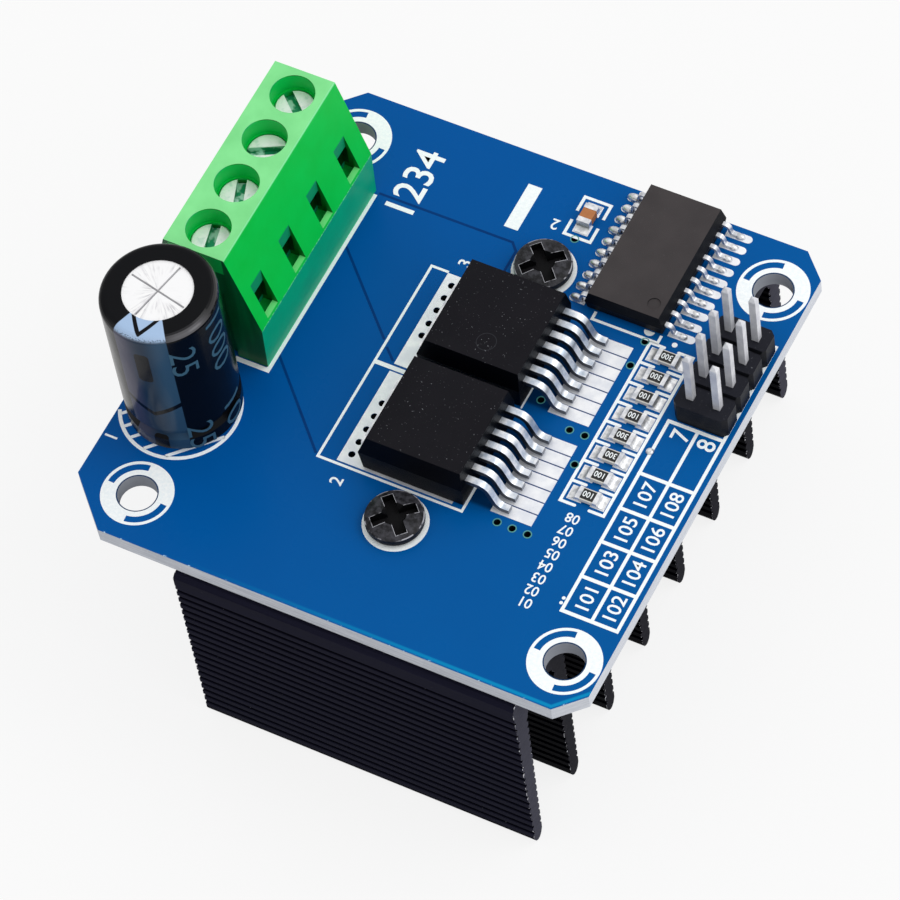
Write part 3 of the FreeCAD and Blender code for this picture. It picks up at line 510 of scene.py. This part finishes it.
node_finishes = {
    "circuit_board": BOARD, "heatsink": fin_finish(), "thermal_pad": SILICONE,
    "heatsink_screws": clamp_finish(), "terminal_housing": green_finish(),
    "terminal_contacts": TINNED, "capacitor_can": can_finish(),
    "capacitor_sleeve": sleeve_finish(), "capacitor_bung": RUBBER, "capacitor_leads": TINNED,
    "driver_body_1": DRIVER, "driver_body_2": DRIVER, "driver_tab_1": TINNED, "driver_tab_2": TINNED,
    "driver_leads_1": FORMED, "driver_leads_2": FORMED, "logic_chip_body": CHIP, "logic_chip_leads": TINNED,
    "header_housing": HEADER, "header_pins": PIN, "resistor_bodies": CERAMIC, "resistor_ends": TINNED,
    "resistor_coats": COATS, "ceramic_capacitor_body": BROWN, "ceramic_capacitor_ends": TINNED,
    "solder_fillets": SOLDER, "solder_joints": SOLDER,
}
SCREW = screw_finish()
for way in range(1, 5):
    node_finishes["terminal_screw_%d" % way] = SCREW
    node_finishes["wire_cage_%d" % way] = NICKEL
for name, material in node_finishes.items():
    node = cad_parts[name]
    if not node.material_slots:
        node.data.materials.append(material)
    for slot in node.material_slots:
        slot.material = material


# Thin pieces on the board, built as closed plates in the board's millimetres
class Plates:
    """One piece made of many thin closed plates."""

    def __init__(self, name, low, high):
        self.name = name
        self.mesh = bmesh.new()
        self.low = low
        self.high = high

    def plate(self, outline):
        """A closed plate over an outline that runs anticlockwise."""
        count = len(outline)
        under = [self.mesh.verts.new((x, y, self.low)) for x, y in outline]
        over = [self.mesh.verts.new((x, y, self.high)) for x, y in outline]
        self.mesh.faces.new(over)
        self.mesh.faces.new(list(reversed(under)))
        for i in range(count):
            j = (i + 1) % count
            self.mesh.faces.new((under[i], under[j], over[j], over[i]))

    def box(self, x0, y0, x1, y1):
        self.plate([(x0, y0), (x1, y0), (x1, y1), (x0, y1)])

    def line(self, points, width):
        """A run of straight lines with mitred corners."""
        half = width / 2
        left, right = [], []
        for i, (x, y) in enumerate(points):
            before = Vector(points[i]) - Vector(points[i - 1]) if i > 0 else None
            after = Vector(points[i + 1]) - Vector(points[i]) if i + 1 < len(points) else None
            a = (before or after).normalized()
            b = (after or before).normalized()
            across = (Vector((-a.y, a.x)) + Vector((-b.y, b.x))).normalized()
            reach = half / max(0.3, across.dot(Vector((-a.y, a.x))))
            left.append((x + across.x * reach, y + across.y * reach))
            right.append((x - across.x * reach, y - across.y * reach))
        for i in range(len(points) - 1):
            self.plate([right[i], right[i + 1], left[i + 1], left[i]])

    def arc(self, x, y, inner, outer, start, end, steps=None):
        """A flat band between two angles in degrees."""
        steps = steps or max(2, round(abs(end - start) / 6))
        angles = [math.radians(start + (end - start) * i / steps) for i in range(steps + 1)]
        for a, b in zip(angles, angles[1:]):
            ring = [(outer, a), (outer, b), (inner, b), (inner, a)]
            self.plate([(x + r * math.cos(t), y + r * math.sin(t)) for r, t in ring])

    def disc(self, x, y, radius, steps=20):
        turns = [math.tau * i / steps for i in range(steps)]
        self.plate([(x + radius * math.cos(t), y + radius * math.sin(t)) for t in turns])

    def pill(self, x0, x1, y, width):
        """A bar along x with a round far end."""
        half = width / 2
        sign = 1 if x1 > x0 else -1
        turns = [math.radians(-90 + 180 * i / 8) for i in range(9)]
        end = [(x1 - sign * half + sign * half * math.cos(t), y + half * math.sin(t)) for t in turns]
        outline = [(x0, y - half)] + end + [(x0, y + half)]
        self.plate(outline if sign > 0 else list(reversed(outline)))

    def figures(self, text, x, y, height, turn, wide=1.0, weight=0.012):
        """Plain figures, centred on x and y, turned by so many degrees."""
        curve = bpy.data.curves.new("figures", "FONT")
        curve.body = text
        curve.align_x = "CENTER"
        curve.size = height / 0.7
        curve.resolution_u = 3
        curve.extrude = (self.high - self.low) / 2
        curve.offset = height * weight
        holder = bpy.data.objects.new("figures", curve)
        mesh = bpy.data.meshes.new_from_object(holder)
        centre = Matrix.Translation((0, -height / 2, 0))
        widened = Matrix.Diagonal((wide, 1, 1, 1))
        turned = Matrix.Rotation(math.radians(turn), 4, "Z")
        mesh.transform(Matrix.Translation((x, y, (self.low + self.high) / 2)) @ turned @ widened @ centre)
        self.mesh.from_mesh(mesh)
        bpy.data.objects.remove(holder)
        bpy.data.curves.remove(curve)
        bpy.data.meshes.remove(mesh)

    def finish(self, material, slot_name, body="module"):
        return add_piece(self.name, self.mesh, material, body)


def add_piece(name, shape, material, body="module", smooth=False):
    """Turns a shape in the board's millimetres into a piece that rides on a body."""
    bmesh.ops.remove_doubles(shape, verts=shape.verts, dist=1e-5)
    bmesh.ops.recalc_face_normals(shape, faces=shape.faces)
    for face in shape.faces:
        face.smooth = smooth
    mesh = bpy.data.meshes.new(name)
    shape.to_mesh(mesh)
    shape.free()
    shift = Matrix.Translation([-v for v in BOARD_SHIFT])
    mesh.transform(Matrix.Scale(0.001, 4) @ shift)
    piece = bpy.data.objects.new(name, mesh)
    bpy.context.scene.collection.objects.link(piece)
    mesh.materials.append(material)
    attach(piece, body)
    return piece


def printed_marks():
    """The white print: rings, outlines round the pieces, the table of pins and plain figures."""
    p = Plates("printed_marks", 0.0, PRINT_T)
    for x, y in MOUNT_HOLES:
        p.arc(x, y, 1.86, 2.35, 0, 360)
        p.arc(x, y, 2.95, 3.22, 0, 360)
        p.arc(x, y, 2.35, 2.95, -2, 95)
        p.arc(x, y, 2.35, 2.95, 178, 275)
    p.line([(6.9, 20.2), (10.12, 20.2), (10.12, 40.4)], 0.44)
    p.arc(CAP_RING_X, CAP_RING_Y, CAP_RING_R, 5.47, -153, 153)
    for offset in (-1.2, 0.15, 1.45, 2.95, 4.4):
        half = math.sqrt(CAP_RING_R ** 2 - offset ** 2) * DIAGONAL
        x, y = CAP_RING_X + offset * DIAGONAL, CAP_RING_Y - offset * DIAGONAL
        p.line([(x - half, y - half), (x + half, y + half)], 0.3)
    p.line([(32.1, 17.2), (32.1, 14.2), (18.22, 14.2), (18.22, 35.6), (19.9, 35.6)], 0.24)
    p.line([(18.34, 24.78), (21.4, 24.78)], 0.42)
    p.line([(32.05, 25.5), (32.05, 28.0)], 0.16)
    for x, y in CLAMP_SPOTS:
        p.arc(x, y, 1.8, 2.9, 0, 360)
    for x, sign in ((39.25, 1), (43.35, -1)):
        p.box(x - 0.14, 18.46, x + 0.14, 36.14)
        for y in (36.0, 33.85, 31.65, 29.45, 27.3, 25.15, 22.98, 20.8, 18.6):
            p.pill(x + 0.14 * sign, x + 1.5 * sign, y, 0.28)
    for y, leg in ((47.5, 45.9), (43.3, 44.9)):
        p.line([(27.3, leg), (27.3, y), (29.85, y), (29.85, leg)], 0.28)
    p.line([(33.55, 37.0), (33.55, 36.2), (39.85, 36.2), (39.85, 37.0)], 0.26)
    p.arc(38.7, 37.05, 0.0001, 0.5, 180, 360)
    p.disc(41.3, 36.6, 0.25)
    rows = (8.92, 12.58, 16.3, 19.92, 23.72, 29.42)
    for y in rows:
        p.box(44.06, y - 0.17, 49.55, y + 0.17)
    for low, high in zip(rows, rows[1:]):
        for x in (44.22, 47.0, 49.4):
            p.box(x - 0.15, low + 0.17, x + 0.15, high - 0.17)
    p.box(49.25, 29.59, 49.55, 40.0)
    p.disc(43.85, 9.55, 0.16)
    p.disc(43.85, 10.05, 0.16)
    for i, y in enumerate((10.75, 14.45, 18.1, 21.8)):
        p.figures("10%d" % (2 * i + 1), 45.65, y, 1.25, 90, 1.05)
        p.figures("10%d" % (2 * i + 2), 48.2, y, 1.25, 90, 1.05)
    p.figures("7", 45.75, 28.45, 1.65, 90, 0.95)
    p.figures("8", 48.2, 28.45, 1.65, 90, 0.95)
    for i in range(8):
        p.figures("0%d" % (8 - i), 41.05, 17.32 - 1.285 * i, 0.95, 180, 0.95)
    p.figures("2", 20.85, 12.6, 1.15, 90)
    p.figures("3", 20.75, 37.0, 1.15, 90)
    p.figures("1", 0.85, 8.75, 1.2, 90)
    p.figures("2", 26.15, 43.8, 1.1, 180)
    p.figures("1234", 12.75, 42.8, 2.8, 90, 0.95)
    p.box(22.1, 41.9, 23.45, 46.8)
    return p.finish(PRINT, "board")


def mask_grooves():
    """Dark lines where the mask dips between fields of copper and between the packages' lands."""
    p = Plates("mask_grooves", 0.0, GROOVE_T)
    p.line([(10.3, 34.5), (17.95, 27.1)], 0.24)
    p.line([(18.5, 26.5), (19.7, 25.4)], 0.24)
    p.line([(10.3, 22.0), (17.95, 14.4)], 0.24)
    p.line([(10.4, 40.65), (23.6, 40.65), (24.3, 39.9), (24.3, 36.4)], 0.24)
    for y in DRIVER_YS:
        p.box(34.35, y - 4.38, 38.15, y + 4.38)
    return p.finish(GROOVE, "board")


def holed_square(p, x, y, half, radius, steps=16):
    """A square of land round a via."""
    for k in range(steps):
        corners, inner = [], []
        for t in (math.tau * k / steps, math.tau * (k + 1) / steps):
            reach = half / max(abs(math.cos(t)), abs(math.sin(t)))
            corners.append((x + reach * math.cos(t), y + reach * math.sin(t)))
            inner.append((x + radius * math.cos(t), y + radius * math.sin(t)))
        p.plate([inner[0], corners[0], corners[1], inner[1]])


def tinned_lands():
    """The bare lands: two large ones with vias under the power packages, and one under each lead."""
    p = Plates("tinned_lands", 0.0, LAND_T)
    half, via_radius = 0.42, 0.32
    for y0, y1, holes in ((14.5, 24.4, LAND_VIA_SPOTS[:5]), (25.2, 35.5, LAND_VIA_SPOTS[5:])):
        x = holes[0][0]
        p.box(19.9, y0, x - half, y1)
        p.box(x + half, y0, 31.0, y1)
        edges = [y0] + [v for _, h in holes for v in (h - half, h + half)] + [y1]
        for low, high in zip(edges[::2], edges[1::2]):
            p.box(x - half, low, x + half, high)
        for hole_x, hole_y in holes:
            holed_square(p, hole_x, hole_y, half, via_radius)
    for yc in DRIVER_YS:
        for k in range(7):
            y = yc + (k - 3) * LEAD_PITCH
            p.box(34.3, y - 0.575, 38.2, y + 0.575)
    for k in range(10):
        y = CHIP_Y + (k - 4.5) * LEAD_PITCH
        p.pill(40.3, 42.78, y, 0.78)
        p.pill(32.3, 30.72, y, 0.78)
    for y in RESISTOR_YS:
        p.box(39.62, y - 0.72, 41.0, y + 0.72)
        p.box(41.85, y - 0.72, 43.15, y + 0.72)
    p.box(27.85, 43.75, 29.35, 44.95)
    p.box(27.85, 45.9, 29.35, 47.1)
    return p.finish(LAND, "solder")


def via_rings():
    """A thin ring of copper round each via between the pieces."""
    p = Plates("via_rings", 0.0, VIA_RING_T)
    for x, y in VIA_SPOTS:
        p.arc(x, y, 0.31, 0.4, 0, 360, 20)
    material = plain_finish("via_ring", tone(40, 130, 140), tone(90, 165, 150), 0.35, 2.0, 0.1, 0.6)
    return p.finish(material, "solder")


def dome(shape, x, y, reach_x, reach_y, height, low=0.04, rings=5, steps=14):
    """A rounded bead of solder, flat underneath."""
    levels = []
    for i in range(rings):
        t = math.radians(90 * i / rings)
        across, along, z = reach_x * math.cos(t), reach_y * math.cos(t), low + height * math.sin(t)
        turns = [math.tau * k / steps for k in range(steps)]
        ring = [(x + across * math.cos(a), y + along * math.sin(a), z) for a in turns]
        levels.append([shape.verts.new(spot) for spot in ring])
    tip = shape.verts.new((x, y, low + height))
    for lower, upper in zip(levels, levels[1:]):
        for k in range(steps):
            j = (k + 1) % steps
            shape.faces.new((lower[k], lower[j], upper[j], upper[k]))
    for k in range(steps):
        shape.faces.new((levels[-1][k], levels[-1][(k + 1) % steps], tip))
    shape.faces.new(list(reversed(levels[0])))


def solder_beads():
    """Beads of solder on the logic chip's lands, and one near the table of pins."""
    shape = bmesh.new()
    for k in range(10):
        y = CHIP_Y + (k - 4.5) * LEAD_PITCH
        swell = 1 + 0.08 * math.sin(k * 2.3)
        dome(shape, 31.42, y, 0.68 * swell, 0.4, 0.55 * swell)
        dome(shape, 41.6, y, 0.5 * swell, 0.34, 0.34)
    dome(shape, 44.1, 26.0, 0.36, 0.36, 0.16)
    return add_piece("solder_beads", shape, SOLDER, smooth=True)


def sleeve_figures():
    """Plain figures that run down the sleeve, bent round it."""
    p = Plates("sleeve_figures", 0.0, 0.02)
    rows = (
        ("1000", 2.1, 2.7, 2.5, 1.1), ("25", -1.7, 3.0, 2.4, 1.15),
        ("10", 2.1, -7.6, 2.5, 1.15), ("25", -1.7, -8.2, 2.4, 1.1),
    )
    for text, across, rise, height, wide in rows:
        p.figures(text, across, rise, height, -90, wide, -0.008)
    bmesh.ops.subdivide_edges(p.mesh, edges=[e for e in p.mesh.edges if e.calc_length() > 0.7], cuts=3)
    middle_turn, middle_z, gap = math.radians(-22.0), 10.5, 0.004
    for vertex in p.mesh.verts:
        across, rise, out = vertex.co
        turn = middle_turn + across / CAP_R
        reach = CAP_R + gap + out
        vertex.co = (CAP_X + reach * math.cos(turn), CAP_Y + reach * math.sin(turn), middle_z + rise)
    ink = plain_finish("sleeve_print", tone(44, 78, 100), tone(66, 104, 126), 0.4, 5.0, 0.1, 0.15)
    return p.finish(ink, "black_sleeve")


def resistor_marks():
    """A plain value on the coat of each resistor."""
    p = Plates("resistor_marks", 0.55, 0.566)
    for i, y in enumerate(RESISTOR_YS):
        p.figures("100" if i in (0, 1, 4, 5) else "300", RESISTOR_X, y, 0.56, 180, 0.86)
    return p.finish(PRINT, "resistor_black")


printed_marks()
mask_grooves()
tinned_lands()
via_rings()
solder_beads()
sleeve_figures()
resistor_marks()


# Floor, lamps and camera
def pale_floor():
    """A floor that looks nearly white, takes soft shadows and is clear from below."""
    bpy.ops.mesh.primitive_plane_add(size=30, location=(0, 0, -0.0002))
    floor = bpy.context.object
    floor.name = "pale_floor"
    f = Finish("pale_floor")
    place = f.node("ShaderNodeTexCoord", output="Object")
    pale = f.blend(f.noise(place, 3.0), (0.74,) * 3 + (1,), (0.76,) * 3 + (1,))
    lit = f.node("ShaderNodeBsdfDiffuse", sockets={"Color": pale})
    plain = f.node("ShaderNodeEmission", sockets={"Color": (1, 1, 1, 1), "Strength": 1.0})
    path = f.node("ShaderNodeLightPath").socket.node.outputs
    rays = [Value(f, path[name]) for name in ("Is Camera Ray", "Is Glossy Ray", "Is Transmission Ray")]
    seen = rays[0] + rays[1] + rays[2]
    shown = f.node("ShaderNodeMixShader", sockets={0: seen * 0.84, 1: lit, 2: plain})
    below = f.node("ShaderNodeBsdfTransparent")
    behind = f.node("ShaderNodeNewGeometry", output="Backfacing")
    both = f.node("ShaderNodeMixShader", sockets={0: behind, 1: shown, 2: below})
    f.links.new(both.socket, f.nodes["Material Output"].inputs["Surface"])
    floor.data.materials.append(f.material)


def soft_sky():
    """An even white surround, brighter from the upper right."""
    world = bpy.data.worlds.new("soft_sky")
    bpy.context.scene.world = world
    world.use_nodes = True
    nodes, links = world.node_tree.nodes, world.node_tree.links
    place = nodes.new("ShaderNodeTexCoord")
    aim = nodes.new("ShaderNodeVectorMath")
    aim.operation = "DOT_PRODUCT"
    aim.inputs[1].default_value = Vector((0.5, 0.35, 0.79)).normalized()
    links.new(place.outputs["Generated"], aim.inputs[0])
    level = nodes.new("ShaderNodeMapRange")
    level.inputs["From Min"].default_value = -1.0
    level.inputs["To Min"].default_value = 0.3
    level.inputs["To Max"].default_value = 1.05
    links.new(aim.outputs["Value"], level.inputs["Value"])
    nodes["Background"].inputs["Color"].default_value = (1.0, 1.0, 1.0, 1.0)
    links.new(level.outputs["Result"], nodes["Background"].inputs["Strength"])


def lamp(name, location, size, watts):
    """A round softbox that points at the middle of the module."""
    data = bpy.data.lights.new(name, "AREA")
    data.shape = "DISK"
    data.size = size
    data.energy = watts
    made = bpy.data.objects.new(name, data)
    made.location = location
    made.rotation_euler = (Vector((0, 0, 0.02)) - Vector(location)).to_track_quat("-Z", "Y").to_euler()
    bpy.context.scene.collection.objects.link(made)


pale_floor()
soft_sky()
lamp("main_softbox", (0.3, 0.16, 0.55), 0.3, 0.7)
lamp("side_softbox", (0.5, -0.05, 0.3), 0.3, 0.3)

view = bpy.data.cameras.new("view")
view.sensor_width = 36
view.lens = 220.292
camera = bpy.data.objects.new("view", view)
camera.location = (0.15217067, -0.21369068, 0.41904406)
camera.rotation_euler = [math.radians(a) for a in (32.57970393, 5.45123618, 27.12569487)]
bpy.context.scene.collection.objects.link(camera)
bpy.context.scene.camera = camera
bpy.context.scene.view_settings.view_transform = "Standard"
